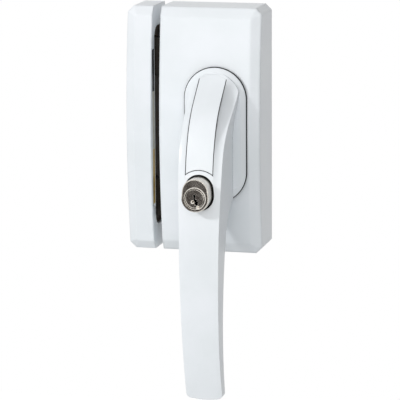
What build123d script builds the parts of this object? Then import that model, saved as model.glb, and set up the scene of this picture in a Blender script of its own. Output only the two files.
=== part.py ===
# Locking window handle: a handle on a lock case that is fixed to the window's sash, with two
# square bolts that run out sideways into a strike on the frame, and a push cylinder in the
# handle's neck that pins the handle to the case.
#
# Millimetres. X is to the right, Y into the window, Z up. The origin is the spindle's axis on
# the window's face. Most sizes here are depths in front of that face, so a depth d lies at
# Y = -d. The handle is modelled hanging down, with the bolts out and the cylinder out.
import os
from math import acos, cos, pi, radians, sin, sqrt, tan

from build123d import *

os.makedirs("parts", exist_ok=True)

# Clearances
RUNNING = 0.05  # round a shaft that turns
SLIDING = 0.25  # beside a part that slides
LOOSE = 0.4  # round a part that drops in
SEATED = 0.02  # round a part that is pressed in

# Spindle, and the gear on it that moves the bolts
SPINDLE_SQUARE = 7.0
SPINDLE_OUT = 32.0
SPINDLE_CHAMFER = 0.8
PINION_TEETH = 8
PINION_WALL = 0.7325  # left between the spindle's square and the tooth roots
PINION_ADDENDUM = 0.85
PRESSURE_ANGLE = 25.0
RACK_TEETH = 6
RACK_ADDENDUM = 0.7  # of a module, low enough to clear the undercut of a small pinion
DEDENDUM = 1.25
BACKLASH = 0.3
GEAR_THICKNESS = 5.0
RACK_FOOT = 4.0
RACK_RIGHT = 3.6
JOURNAL_WALL = 1.2
CARRIAGE_WIDTH = 6.03  # of its upright, which stops just short of the journal

SPINDLE_HOLE = SPINDLE_SQUARE / 2 + RUNNING
SPINDLE_CORNER = SPINDLE_HOLE * sqrt(2)
TOOTH_FALL = RACK_ADDENDUM + DEDENDUM - 1
PINION_ROOT = SPINDLE_HOLE / cos(pi / PINION_TEETH) + PINION_WALL
MODULE = PINION_ROOT / (PINION_TEETH / 2 - TOOTH_FALL)
PITCH = pi * MODULE
PITCH_RADIUS = MODULE * PINION_TEETH / 2
RACK_ROOT = -PITCH_RADIUS - DEDENDUM * MODULE
RACK_BOTTOM = RACK_ROOT - RACK_FOOT
JOURNAL_RADIUS = SPINDLE_CORNER + JOURNAL_WALL
BOLT_TRAVEL = pi * PITCH_RADIUS  # over half a turn of the handle
CARRIAGE_RIGHT = -(BOLT_TRAVEL + JOURNAL_RADIUS + LOOSE)
CARRIAGE_LEFT = CARRIAGE_RIGHT - CARRIAGE_WIDTH

# Lock case
CASE_RIGHT = 25.8
CASE_HEIGHT = 145.0
CASE_MIDDLE = 1.2  # the case's middle is this far above the spindle
CASE_DEPTH = 33.5
CROWN = 5.9  # how far the front falls away towards the top and bottom
CASE_BEVEL = 6.0
BEVEL_DROP = 2.8
CORNER_CUT = 3.6
EDGE_ROUND = 0.6
SHELL_WALL = 2.5
FRONT_WALL = 3.0

CASE_LEFT = CARRIAGE_LEFT - LOOSE - SHELL_WALL
CASE_TOP = CASE_MIDDLE + CASE_HEIGHT / 2
CASE_BOTTOM = CASE_MIDDLE - CASE_HEIGHT / 2
CASE_CENTRE = (CASE_LEFT + CASE_RIGHT) / 2
ROOM_LEFT = CARRIAGE_LEFT
ROOM_RIGHT = CASE_RIGHT - SHELL_WALL - LOOSE

# Strike
STRIKE_GAP = 4.9
STRIKE_WIDTH = 15.6
STRIKE_BEVEL = 5.0
STRIKE_WALL = 2.2
SLOT_ABOVE = 7.3  # the opening runs on past the bolts
SLOT_BELOW = 5.8
SLOT_FRONT = 1.7
SLOT_NEAR = 5.0
SLOT_ROUND = 7.0
GROOVE_INSET = 6.4
GROOVE_WIDTH = 4.6
GROOVE_CUT = 1.2
GROOVE_LENGTH = 94.5
GROOVE_SHY = 0.15  # the strips lie this far inside the side
BAR_START = 2.4
BAR_LENGTH = 32.7
FILLER_LENGTH = 34.4
LINER_THICKNESS = 1.6
LINER_LAP = 6.0
STRIKE_BASE = 2.5
STRIKE_HOLE_INSET = 14.5
STRIKE_HOLE_RADIUS = 2.4
STRIKE_SCREW = 1.5
STRIKE_SCREW_LENGTH = 12.0
STRIKE_SCREW_INSET = 6.5
STRIKE_POST = 3.0

STRIKE_RIGHT = CASE_LEFT - STRIKE_GAP
STRIKE_LEFT = STRIKE_RIGHT - STRIKE_WIDTH
STRIKE_CENTRE = (STRIKE_LEFT + STRIKE_RIGHT) / 2
LINER_RIGHT = STRIKE_RIGHT - STRIKE_WALL - SEATED
STRIKE_SCREWS = (CASE_TOP - STRIKE_SCREW_INSET, CASE_BOTTOM + STRIKE_SCREW_INSET)
STRIKE_HOLES = (CASE_TOP - STRIKE_HOLE_INSET, CASE_BOTTOM + STRIKE_HOLE_INSET)
GROOVE_DEPTH = CASE_DEPTH - GROOVE_INSET
GROOVE_BOTTOM = CASE_MIDDLE - GROOVE_LENGTH / 2

# Handle
BASE_RADIUS = 18.3
BASE_STRAIGHT = 42.8
BASE_THICKNESS = 2.7
BASE_RIM = 2.4
BASE_EDGE = 0.6
BASE_GAP = 0.8
SEAL_PROUD = 0.5  # past the base's outline
SEAL_WIDTH = 2.4
SEAL_THICKNESS = 0.6
HANDLE_RISE = 38.4  # the lever's highest point, in front of the base
LEVER_REACH = 151.6
NECK_MARGIN = 0.4
NECK_SIDE = 2.0  # left beside the sleeve
LEVER_END_ROUND = 3.0
LEVER_END_BULGE = 1.0
STRIP_HALF_WIDTH = 8.3
STRIP_THICKNESS = 2.2
STRIP_RING = 3.1
STRIP_LIP = 1.0
STRIP_FIT = 0.45
BOSS_WALL = 3.9
BOSS_REACH = 3.8  # past the lock plate
RING_GROOVE = 0.9
RING_THICKNESS = 0.9
RING_INSET = 1.8
RING_OPENING = 4.0

BASE_NEAR = CASE_DEPTH + BASE_GAP
BASE_FAR = BASE_NEAR + BASE_THICKNESS
BASE_HALF = BASE_STRAIGHT / 2 + BASE_RADIUS
HANDLE_DEPTH = BASE_FAR + HANDLE_RISE
NECK_END = -(BASE_HALF - BASE_RIM - NECK_MARGIN)

# Push cylinder
CYLINDER_TRAVEL = 7.0
CYLINDER_PROUD = 7.1  # in front of the lever's highest point, while it is out
BARREL_LENGTH = 30.5
BARREL_RADIUS = 8.05
BARREL_WALL = 1.6
BARREL_RAISED = 0.5  # its lowest point above the neck's end
BARREL_CHAMFER = 0.5
CHAMBER_RADIUS = 7.7
CHAMBER_RISE = 3.1
PLUG_LENGTH = 22.5
PLUG_PROUD = 0.4
PLUG_CHAMFER = 0.4
PLUG_RIM = 1.0  # outside the fine groove in its face
PLUG_GROOVE = 0.3
KEYWAY_LENGTH = 20.0
KEYWAY_HOLE = 0.75  # the radius of its round top
KEYWAY_TOP = 1.6  # the middle of that round, above the plug's axis
KEYWAY_LEAN = -0.25
KEYWAY_STEPS = [  # left, right, bottom and top, from the plug's axis
    (-0.8, 0.3, -0.6, 1.6),
    (-0.6, 1.3, -1.8, -0.4),
    (0.0, 1.9, -3.7, -1.5),
]
MARK_RADIUS = 1.0
MARK_DEPTH = 0.7
MARKS = [(-1.3, -2.0), (1.8, -5.0)]  # drilled beside the keyway and at the rim
KEY_CUTS = (0.0, 0.7, 0.3, 1.0, 0.5)
PIN_PITCH = 3.6
PIN_FIRST = 4.5
PIN_RADIUS = 1.2
PIN_SPRING_WIRE = 0.4
KEY_PIN_START = 2.0  # the longest key pin's foot, above the plug's axis
DRIVER_SHARE = 0.5  # of the height of its hole
CHAMBER_COVER = 0.8
CHAMBER_SIDE = 0.5
CHAMBER_END = 2.0
CAM_RADIUS = 4.2
CAM_LUG = 6.6
CAM_THICKNESS = 2.5
CAM_WINDOW = 3.8
SPIGOT_RADIUS = 3.0
CLIP_THICKNESS = 0.5
CLIP_OPENING = 2.4
LOCK_PIN_RADIUS = 2.8
LOCK_PIN_DROP = 2.7  # below the plug's axis
LOCK_PIN_RECESS = 0.5
LOCK_PIN_SEAT = 3.6
LOCK_PIN_SPARE = 0.1  # its seat is this much deeper than it reaches
LOCK_PIN_CHAMFER = 0.5
STOP_PIN_RADIUS = 1.0
STOP_PIN_INSET = 2.2
STOP_PIN_SEAT = 3.0
SLEEVE_WALL = 0.6
SLEEVE_SINK = 4.4  # below the lever's highest point
SLEEVE_FLOOR = 1.0
SLEEVE_SPARE = 3.0  # left under the barrel when it is pushed in
SPRING_WIRE = 1.2

CYLINDER_FACE = HANDLE_DEPTH + CYLINDER_PROUD
BARREL_NEAR = CYLINDER_FACE - BARREL_LENGTH
PLUG_RADIUS = BARREL_RADIUS - BARREL_WALL
PLUG_NEAR = CYLINDER_FACE - PLUG_LENGTH
BARREL_BOTTOM = NECK_END + BARREL_RAISED
PLUG_HEIGHT = BARREL_BOTTOM + BARREL_RADIUS
BARREL_TOP = PLUG_HEIGHT + BARREL_RADIUS + CHAMBER_RISE
BARREL_MIDDLE = (BARREL_BOTTOM + BARREL_TOP) / 2
LOCK_PIN_HEIGHT = PLUG_HEIGHT - LOCK_PIN_DROP
SLEEVE_OUTER = SLIDING + SLEEVE_WALL
SLEEVE_FAR = HANDLE_DEPTH - SLEEVE_SINK
SLEEVE_NEAR = BARREL_NEAR - CYLINDER_TRAVEL - SLEEVE_SPARE - SLEEVE_FLOOR
SHEAR_LINE = PLUG_HEIGHT + PLUG_RADIUS
DRIVER_BOTTOM = SHEAR_LINE + RUNNING + SEATED
DRIVER_TOP = DRIVER_BOTTOM + DRIVER_SHARE * (BARREL_TOP - CHAMBER_COVER - DRIVER_BOTTOM)
PIN_DEPTHS = [CYLINDER_FACE - PIN_FIRST - PIN_PITCH * index for index in range(len(KEY_CUTS))]
LOCK_PIN_END = BARREL_NEAR + LOCK_PIN_SEAT - LOCK_PIN_SPARE
STOP_PIN_AT = BARREL_NEAR + STOP_PIN_INSET

# The long screws, and the one that holds the handle on the spindle
SCREW_SPACING = 43.0
SCREW_RADIUS = 2.5
SCREW_SHANK = 2.2
SCREW_HEAD = 4.6
SCREW_SINK = 0.3
SCREW_OUT = 14.0
SCREW_CROSS_WIDTH = 1.0
SCREW_CROSS_SINK = 1.2
HUB_SCREW_RADIUS = 2.0
HUB_SCREW_LENGTH = 15.5
HUB_SCREW_HEAD = 3.6
HUB_SCREW_HEAD_HEIGHT = 2.6
HUB_SCREW_KEY = 1.45  # from the middle of its hexagonal socket to a corner
HUB_SCREW_KEY_SINK = 1.6
HUB_SCREW_SINK = 12.9  # its seat, below the lever's highest point
HUB_SCREW_WEB = 4.5

HUB_SCREW_SEAT = HANDLE_DEPTH - HUB_SCREW_SINK
SPINDLE_FAR = HUB_SCREW_SEAT - HUB_SCREW_WEB
BOSS_RADIUS = SPINDLE_CORNER + BOSS_WALL
SCREW_HEIGHTS = (SCREW_SPACING / 2, -SCREW_SPACING / 2)
HEAD_TAPER = SCREW_HEAD - SCREW_RADIUS

# Plates inside the case, from the wall outwards
MOUNTING_PLATE = 2.0
GEAR_PLATE = 2.0
LOCK_PLATE = 2.0
LOCK_PLATE_INSET = 10.7  # behind the case's front
PLATE_INSET = 7.5
FIX_HOLE_RADIUS = 2.6
FIX_HOLE_SPACING_X = 38.0
FIX_HOLE_SPACING_Z = 104.0
PILLAR_RADIUS = 3.0
PILLAR_INSET_X = 7.6
PILLAR_INSET_Z = 4.0
RIVET_RADIUS = 1.6
GLIDE_WIDTH = 4.4
GLIDE_GAP = 2.1
GLIDE_THICKNESS = 1.3
GLIDE_SEAT = 0.8
BUSH_WALL = 1.4
BUSH_FLANGE = 1.6
BUSH_FLANGE_THICKNESS = 1.0
BUSH_BEHIND = 0.5
KEEPER_WALL = 1.2
KEEPER_STEP = 0.5  # its collar stands this far inside its seat in the plate

GEAR_PLATE_NEAR = MOUNTING_PLATE
GEAR_PLATE_FAR = GEAR_PLATE_NEAR + GEAR_PLATE
LOCK_PLATE_NEAR = CASE_DEPTH - LOCK_PLATE_INSET
LOCK_PLATE_FAR = LOCK_PLATE_NEAR + LOCK_PLATE
PLATE_HEIGHT = CASE_HEIGHT - 2 * PLATE_INSET
BOSS_NEAR = LOCK_PLATE_NEAR - BOSS_REACH
RING_NEAR = LOCK_PLATE_NEAR - RING_INSET
GLIDE_INNER = BOSS_RADIUS + GLIDE_GAP
GLIDE_OUTER = GLIDE_INNER + GLIDE_WIDTH
BUSH_OUTER = BOSS_RADIUS + RUNNING + BUSH_WALL
KEEPER_BORE = LOCK_PIN_RADIUS + LOOSE
KEEPER_OUTER = KEEPER_BORE + KEEPER_WALL
KEEPER_COLLAR = KEEPER_OUTER - KEEPER_STEP
KEEPERS = [(0, LOCK_PIN_HEIGHT), (0, -LOCK_PIN_HEIGHT)]
PILLARS = [
    (x, CASE_MIDDLE + end * (PLATE_HEIGHT / 2 - PILLAR_INSET_Z))
    for x in (ROOM_LEFT + PILLAR_INSET_X, ROOM_RIGHT - PILLAR_INSET_X)
    for end in (1, -1)
]

# Carriage, bolts and detent
CARRIAGE_THICKNESS = 3.5
BOLT_INSET = 30.5  # a bolt's middle, from the case's end
BOLT_HEIGHT = 22.0
BOLT_THICKNESS = 9.7
BOLT_THROW = 14.0
BOLT_NOSE = 1.2
REAR_BUSH_WALL = 2.0
RAIL_HEIGHT = 4.0
RAIL_LENGTH = 16.0
RAIL_SCREW = 1.25
RAIL_SCREW_LENGTH = 9.5
RAIL_SCREW_HEAD = 1.2
RAIL_SCREW_SLOT = 0.6
RIVET_LENGTH = 3.0  # of the rack's rivets, in the rack
BOLT_RIVET_END = 0.8  # of the bolts' rivets, past the foot
RACK_RIVET = 1.2
DETENT_WALL = 1.95
DETENT_LENGTH = 4.5
DETENT_CORNER = 1.5
LEAF_THICKNESS = 0.6
LEAF_HALF = 15.0
LEAF_INSET = 0.3
POST_SIZE = 4.0
POST_INSET = 1.0  # a post's middle, from the leaf's end

CARRIAGE_NEAR = GEAR_PLATE_FAR + SLIDING
CARRIAGE_FAR = CARRIAGE_NEAR + CARRIAGE_THICKNESS
BOLT_FAR = LOCK_PLATE_NEAR - SLIDING
BOLT_NEAR = BOLT_FAR - BOLT_THICKNESS
BOLT_HEIGHTS = (CASE_TOP - BOLT_INSET, CASE_BOTTOM + BOLT_INSET)
GEAR_NEAR = CARRIAGE_FAR + 2 * SLIDING
GEAR_FAR = GEAR_NEAR + GEAR_THICKNESS
RACK_RIVETS = [(x, RACK_ROOT - RACK_FOOT / 2) for x in (CARRIAGE_RIGHT + RACK_FOOT, 0)]
JOURNAL_OUTER = JOURNAL_RADIUS + RUNNING + REAR_BUSH_WALL
DETENT_SQUARE = 2 * (SPINDLE_HOLE + DETENT_WALL)
DETENT_FAR = GEAR_FAR + DETENT_LENGTH
LEAF_NEAR_X = DETENT_SQUARE / 2 + SLIDING / 2
RAIL_CENTRE = ROOM_LEFT + RAIL_LENGTH / 2
RAIL_OFFSET = BOLT_HEIGHT / 2 + SLIDING + RAIL_HEIGHT / 2
RAIL_HEIGHTS = [z + side * RAIL_OFFSET for z in BOLT_HEIGHTS for side in (1, -1)]
SLOT_TOP = BOLT_HEIGHTS[0] + BOLT_HEIGHT / 2 + SLOT_ABOVE
SLOT_BOTTOM = BOLT_HEIGHTS[1] - BOLT_HEIGHT / 2 - SLOT_BELOW
SLOT_FAR = BOLT_FAR + SLOT_FRONT

# Sketch planes: one seen from the front, one from the side with the depth to its right, and
# one from above that moves down the handle
FRONT = Plane((0, 0, 0), x_dir=(1, 0, 0), z_dir=(0, -1, 0))
SIDE = Plane((0, 0, 0), x_dir=(0, -1, 0), z_dir=(-1, 0, 0))


def slab(x0, x1, z0, z1, near, far):
    """A block between two X, two Z and two depths."""
    middle = Pos((x0 + x1) / 2, -(near + far) / 2, (z0 + z1) / 2)
    return middle * Box(abs(x1 - x0), abs(far - near), abs(z1 - z0))


def rod(radius, x, z, near, far):
    """A round bar along the depth."""
    return Pos(x, -(near + far) / 2, z) * Rot(90, 0, 0) * Cylinder(radius, far - near)


def cone(near_radius, far_radius, x, z, near, far):
    """A tapered bar along the depth."""
    middle = Pos(x, -(near + far) / 2, z)
    return middle * Rot(90, 0, 0) * Cone(near_radius, far_radius, far - near)


def tube(outer, inner, x, z, near, far):
    """A round tube along the depth."""
    return rod(outer, x, z, near, far) - rod(inner, x, z, near - 1, far + 1)


def upright(radius, depth, bottom, top):
    """A round bar along Z, on the handle's middle plane."""
    return Pos(0, -depth, (bottom + top) / 2) * Cylinder(radius, top - bottom)


def raised(sketch, near, far):
    """A sketch seen from the front, thickened from one depth to another."""
    return extrude(FRONT.offset(near) * sketch, amount=far - near)


def across(sketch, half_width):
    """A sketch seen from the side, thickened both ways along X."""
    return extrude(SIDE * sketch, amount=half_width, both=True)


def save(name, *solids):
    """One solid, or a group of like solids, in a file of its own."""
    shape = solids[0] if len(solids) == 1 else Compound(children=list(solids))
    export_step(shape, f"parts/{name}.step")


# Housings: the case and the strike are one crowned shape, split by the gap between them.
def crown_depth(z, depth):
    """Depth of the crowned front at a height, where it has the given depth in the middle."""
    arc = ((CASE_HEIGHT / 2) ** 2 + CROWN**2) / (2 * CROWN)
    return depth - arc + sqrt(arc**2 - (z - CASE_MIDDLE) ** 2)


def behind_crown(depth):
    """Everything between the wall and the crowned front."""
    end = crown_depth(CASE_TOP, depth)
    outline = [
        Line((-1, CASE_BOTTOM), (end, CASE_BOTTOM)),
        ThreePointArc((end, CASE_BOTTOM), (depth, CASE_MIDDLE), (end, CASE_TOP)),
        Line((end, CASE_TOP), (-1, CASE_TOP)),
        Line((-1, CASE_TOP), (-1, CASE_BOTTOM)),
    ]
    return across(make_face(outline), CASE_HEIGHT)


def housing(inner, outer, bevel):
    """A crowned block, bevelled at its ends and outer side, with its outer corners cut."""
    cut = CORNER_CUT if outer > inner else -CORNER_CUT
    footprint = Polyline(
        (inner, CASE_BOTTOM),
        (outer - cut, CASE_BOTTOM),
        (outer, CASE_BOTTOM + CORNER_CUT),
        (outer, CASE_TOP - CORNER_CUT),
        (outer - cut, CASE_TOP),
        (inner, CASE_TOP),
        close=True,
    )
    block = raised(make_face(footprint), 0, CASE_DEPTH) & behind_crown(CASE_DEPTH)
    front = block.faces().filter_by(GeomType.CYLINDER)[0]
    rim = [e for e in front.edges() if abs(e.center().X - inner) > 0.01]
    block = chamfer(rim, length=bevel, length2=BEVEL_DROP, reference=front)
    front = block.faces().filter_by(GeomType.CYLINDER)[0]
    return fillet([e for e in front.edges() if abs(e.center().X - inner) < 0.01], EDGE_ROUND)


def room(left, right, wall):
    """The space inside a housing, open at the back."""
    space = slab(left + wall, right - wall, CASE_BOTTOM + wall, CASE_TOP - wall, -1, CASE_DEPTH)
    return space & behind_crown(CASE_DEPTH - FRONT_WALL)


# Case cover: a die-cast shell. The long screws clamp it through two bosses that stand on the
# lock plate, and their heads are hidden under the handle's base.
def case_cover():
    shell = housing(CASE_LEFT, CASE_RIGHT, CASE_BEVEL) - room(CASE_LEFT, CASE_RIGHT, SHELL_WALL)
    for z in SCREW_HEIGHTS:
        front = crown_depth(z, CASE_DEPTH)
        shell += rod(SCREW_HEAD + LOOSE, 0, z, LOCK_PLATE_FAR, front - 1)
        shell -= rod(SCREW_RADIUS + SLIDING, 0, z, 0, CASE_DEPTH + 1)
        shell -= rod(SCREW_HEAD + SEATED, 0, z, front - SCREW_SINK, CASE_DEPTH + 1)
        seat = front - SCREW_SINK - HEAD_TAPER
        shell -= cone(SCREW_RADIUS, SCREW_HEAD + SEATED, 0, z, seat, front - SCREW_SINK)
    shell -= rod(BOSS_RADIUS + LOOSE, 0, 0, 0, CASE_DEPTH + 1)
    shell -= rod(GLIDE_OUTER + SLIDING, 0, 0, CASE_DEPTH - GLIDE_SEAT, CASE_DEPTH + 1)
    shell = drilled(shell, KEEPER_BORE, KEEPERS)
    for x, z in KEEPERS:
        shell -= rod(KEEPER_COLLAR + SLIDING, x, z, LOCK_PLATE_FAR, keeper_far())
    half = BOLT_HEIGHT / 2 + SLIDING
    for z in BOLT_HEIGHTS:
        window = (CASE_LEFT - 1, CASE_LEFT + SHELL_WALL + 1, z - half, z + half)
        shell -= slab(*window, BOLT_NEAR - SLIDING, BOLT_FAR + SLIDING)
    return shell


def long_screw(z):
    """A countersunk screw that runs through the case into the window's gear."""
    far = crown_depth(z, CASE_DEPTH) - SCREW_SINK
    body = cone(SCREW_RADIUS, SCREW_HEAD, 0, z, far - HEAD_TAPER, far)
    body += rod(SCREW_SHANK, 0, z, -SLIDING, far - HEAD_TAPER)
    body += rod(SCREW_RADIUS, 0, z, -SCREW_OUT, -SLIDING)
    for turn in (0, 90):
        body -= Pos(0, -far, z) * Rot(0, turn, 0) * Box(SCREW_HEAD, 2 * SCREW_CROSS_SINK, SCREW_CROSS_WIDTH)
    return body


def glide_ring():
    """A plastic ring in the cover's front, which the handle's base turns over."""
    near = CASE_DEPTH - GLIDE_SEAT
    return tube(GLIDE_OUTER, GLIDE_INNER, 0, 0, near, near + GLIDE_THICKNESS)


# Plates: the mounting plate is screwed to the sash first. The gear plate and the lock plate
# are riveted to four pillars, and everything else in the case runs between them.
def plate(near, far, height):
    """A plate that fills the case's width, with clearance holes for the long screws."""
    half = height / 2
    body = slab(ROOM_LEFT, ROOM_RIGHT, CASE_MIDDLE - half, CASE_MIDDLE + half, near, far)
    return drilled(body, SCREW_RADIUS + SLIDING, [(0, z) for z in SCREW_HEIGHTS])


def drilled(body, radius, places):
    """Round holes right through, along the depth."""
    for x, z in places:
        body -= rod(radius, x, z, -CASE_DEPTH, CASE_DEPTH)
    return body


def mounting_plate():
    body = plate(0, MOUNTING_PLATE, CASE_HEIGHT - 2 * (SHELL_WALL + LOOSE))
    places = [
        (CASE_CENTRE + side * FIX_HOLE_SPACING_X / 2, CASE_MIDDLE + end * FIX_HOLE_SPACING_Z / 2)
        for side in (1, -1)
        for end in (1, -1)
    ]
    body = drilled(body, FIX_HOLE_RADIUS, places)
    sink = MOUNTING_PLATE / 2
    for x, z in places:
        body -= cone(FIX_HOLE_RADIUS, FIX_HOLE_RADIUS + sink, x, z, sink, MOUNTING_PLATE)
    return drilled(body, JOURNAL_RADIUS, [(0, 0)])


def gear_plate():
    body = plate(GEAR_PLATE_NEAR, GEAR_PLATE_FAR, PLATE_HEIGHT)
    body = drilled(body, JOURNAL_OUTER + SEATED, [(0, 0)])
    return drilled(body, RIVET_RADIUS + SEATED, PILLARS)


def lock_plate():
    body = plate(LOCK_PLATE_NEAR, LOCK_PLATE_FAR, PLATE_HEIGHT)
    body = drilled(body, BUSH_OUTER + SEATED, [(0, 0)])
    body = drilled(body, KEEPER_OUTER + SEATED, KEEPERS)
    body = drilled(body, RIVET_RADIUS + SEATED, PILLARS)
    return drilled(body, RAIL_SCREW + SEATED, [(RAIL_CENTRE, z) for z in RAIL_HEIGHTS])


def pillar(x, z):
    """A shouldered pillar, riveted through both plates."""
    body = rod(PILLAR_RADIUS, x, z, GEAR_PLATE_FAR, LOCK_PLATE_NEAR)
    return body + rod(RIVET_RADIUS, x, z, GEAR_PLATE_NEAR, LOCK_PLATE_FAR)


def handle_bush():
    """The flanged bush that the handle's boss turns in."""
    far = LOCK_PLATE_FAR + BUSH_FLANGE_THICKNESS
    body = rod(BUSH_OUTER, 0, 0, LOCK_PLATE_NEAR - BUSH_BEHIND, far)
    body += rod(BUSH_OUTER + BUSH_FLANGE, 0, 0, LOCK_PLATE_FAR, far)
    return drilled(body, BOSS_RADIUS + RUNNING, [(0, 0)])


def keeper_far():
    """How far a keeper comes forward, just behind the case's front."""
    return crown_depth(LOCK_PIN_HEIGHT - KEEPER_OUTER, CASE_DEPTH - FRONT_WALL) - SLIDING


def lock_keeper(x, z):
    """A hardened bush in the lock plate that the lock pin drops into. The case is turned
    over for a window that opens the other way, so there is one at each end of the handle's
    half turn."""
    body = rod(KEEPER_OUTER, x, z, LOCK_PLATE_NEAR, LOCK_PLATE_FAR)
    body += rod(KEEPER_COLLAR, x, z, LOCK_PLATE_FAR, keeper_far())
    return drilled(body, KEEPER_BORE, [(x, z)])


def bolt_rail(z):
    """A guide beside a bolt, hung from the lock plate."""
    half = RAIL_HEIGHT / 2
    right = ROOM_LEFT + RAIL_LENGTH
    body = slab(ROOM_LEFT, right, z - half, z + half, CARRIAGE_FAR + SLIDING, LOCK_PLATE_NEAR)
    hole = LOCK_PLATE_FAR - RAIL_SCREW_LENGTH - 0.5
    return body - rod(RAIL_SCREW + SEATED, RAIL_CENTRE, z, hole, LOCK_PLATE_FAR)


def rail_screw(z):
    shank = rod(RAIL_SCREW, RAIL_CENTRE, z, LOCK_PLATE_FAR - RAIL_SCREW_LENGTH, LOCK_PLATE_FAR)
    head = rod(2 * RAIL_SCREW, RAIL_CENTRE, z, LOCK_PLATE_FAR, LOCK_PLATE_FAR + RAIL_SCREW_HEAD)
    reach = 2.5 * RAIL_SCREW
    half = RAIL_SCREW_SLOT / 2
    slot = (RAIL_CENTRE - reach, RAIL_CENTRE + reach, z - half, z + half)
    far = LOCK_PLATE_FAR + RAIL_SCREW_HEAD
    return shank + head - slab(*slot, far - RAIL_SCREW_SLOT, far + 1)


# Detent: a leaf spring in two posts bears on the square collar of the pinion's hub.
def detent_spring():
    right = LEAF_NEAR_X + LEAF_THICKNESS
    near, far = GEAR_FAR + LEAF_INSET, DETENT_FAR - LEAF_INSET
    return slab(LEAF_NEAR_X, right, -LEAF_HALF, LEAF_HALF, near, far)


def detent_post(side):
    """A post hung from the lock plate, slit to hold one end of the leaf."""
    z = side * (LEAF_HALF - POST_INSET)
    middle = LEAF_NEAR_X + LEAF_THICKNESS / 2
    half = POST_SIZE / 2
    near = GEAR_FAR + LOOSE
    body = slab(middle - half, middle + half, z - half, z + half, near, LOCK_PLATE_NEAR)
    slit = LEAF_THICKNESS / 2 + SEATED
    return body - slab(middle - slit, middle + slit, z - POST_SIZE, z + POST_SIZE, 0, DETENT_FAR)


# Strike: a narrow housing on a rail that is screwed to the frame. A steel liner behind the
# long opening in its side has a window for each bolt.
def side_opening(left, right, lap):
    """The long opening in the strike's side, its front corners round as seen along X."""
    bounds = (SLOT_BOTTOM - lap, SLOT_TOP + lap, SLOT_NEAR - lap, SLOT_FAR + lap)
    opening = slab(left, right, *bounds)
    corners = opening.edges().filter_by(Axis.X).group_by(Axis.Y)[0]
    return fillet(corners, SLOT_ROUND + lap)


def strike_housing():
    shell = housing(STRIKE_RIGHT, STRIKE_LEFT, STRIKE_BEVEL)
    shell -= room(STRIKE_LEFT, STRIKE_RIGHT, STRIKE_WALL)
    shell -= side_opening(STRIKE_RIGHT - STRIKE_WALL - 1, STRIKE_RIGHT + 1, 0)
    half = GROOVE_WIDTH / 2
    groove = (STRIKE_RIGHT - GROOVE_CUT, STRIKE_RIGHT + 1, GROOVE_BOTTOM, GROOVE_BOTTOM + GROOVE_LENGTH)
    shell -= slab(*groove, GROOVE_DEPTH - half, GROOVE_DEPTH + half)
    for z in STRIKE_SCREWS:
        far = crown_depth(z, CASE_DEPTH - FRONT_WALL) + 1
        shell += rod(STRIKE_POST, STRIKE_CENTRE, z, STRIKE_BASE, far)
        shell -= rod(STRIKE_SCREW, STRIKE_CENTRE, z, 0, far / 2)
    return shell


def strike_liner():
    left = LINER_RIGHT - LINER_THICKNESS
    body = side_opening(left, LINER_RIGHT, LINER_LAP)
    body &= room(STRIKE_LEFT, STRIKE_RIGHT + LOOSE, STRIKE_WALL + SLIDING)
    body -= slab(left - 1, LINER_RIGHT + 1, CASE_BOTTOM, CASE_TOP, -1, STRIKE_BASE)
    half = BOLT_HEIGHT / 2 + 2 * LOOSE
    for z in BOLT_HEIGHTS:
        window = (left - 1, LINER_RIGHT + 1, z - half, z + half)
        body -= slab(*window, BOLT_NEAR - 2 * LOOSE, BOLT_FAR + 2 * LOOSE)
    return body


def strike_rail():
    inset = STRIKE_WALL + SLIDING
    sides = (STRIKE_LEFT + inset, STRIKE_RIGHT - inset, CASE_BOTTOM + inset, CASE_TOP - inset)
    body = slab(*sides, 0, STRIKE_BASE)
    for z in STRIKE_SCREWS:
        body -= rod(STRIKE_SCREW + SLIDING, STRIKE_CENTRE, z, -1, STRIKE_BASE + 1)
        body -= cone(2 * STRIKE_SCREW, STRIKE_SCREW, STRIKE_CENTRE, z, 0, STRIKE_SCREW)
    return drilled(body, STRIKE_HOLE_RADIUS, [(STRIKE_CENTRE, z) for z in STRIKE_HOLES])


def strike_screw(z):
    taper = STRIKE_SCREW - 2 * SEATED
    head = cone(2 * taper, taper, STRIKE_CENTRE, z, 0, taper)
    return head + rod(STRIKE_SCREW - SEATED, STRIKE_CENTRE, z, taper, STRIKE_SCREW_LENGTH)


def groove_strip(start, length):
    """A strip pressed into the groove beside the opening."""
    half = GROOVE_WIDTH / 2 - SEATED
    sides = (STRIKE_RIGHT - GROOVE_CUT + SEATED, STRIKE_RIGHT - GROOVE_SHY)
    bottom = GROOVE_BOTTOM + start
    return slab(*sides, bottom, bottom + length, GROOVE_DEPTH - half, GROOVE_DEPTH + half)


# Bolts: two zinc blocks riveted to a flat carriage, which a rack and the hub's pinion move.
def rivet_places(z):
    x = (CARRIAGE_LEFT + CARRIAGE_RIGHT) / 2
    return [(x, z - BOLT_HEIGHT / 4), (x, z + BOLT_HEIGHT / 4)]


def bolt(z):
    """A square bolt with a foot that stands on the carriage."""
    half = BOLT_HEIGHT / 2
    nose = CASE_LEFT - BOLT_THROW
    body = slab(nose, CARRIAGE_RIGHT, z - half, z + half, BOLT_NEAR, BOLT_FAR)
    body = chamfer([e for e in body.edges() if abs(e.center().X - nose) < 0.01], BOLT_NOSE)
    body += slab(CARRIAGE_LEFT, CARRIAGE_RIGHT, z - half, z + half, CARRIAGE_FAR, BOLT_NEAR)
    for x, height in rivet_places(z):
        body -= rod(RIVET_RADIUS + SEATED, x, height, CARRIAGE_FAR - 1, BOLT_NEAR + 1)
    return body


def bolt_rivet(x, z):
    return rod(RIVET_RADIUS, x, z, CARRIAGE_NEAR, BOLT_NEAR + BOLT_RIVET_END)


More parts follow.
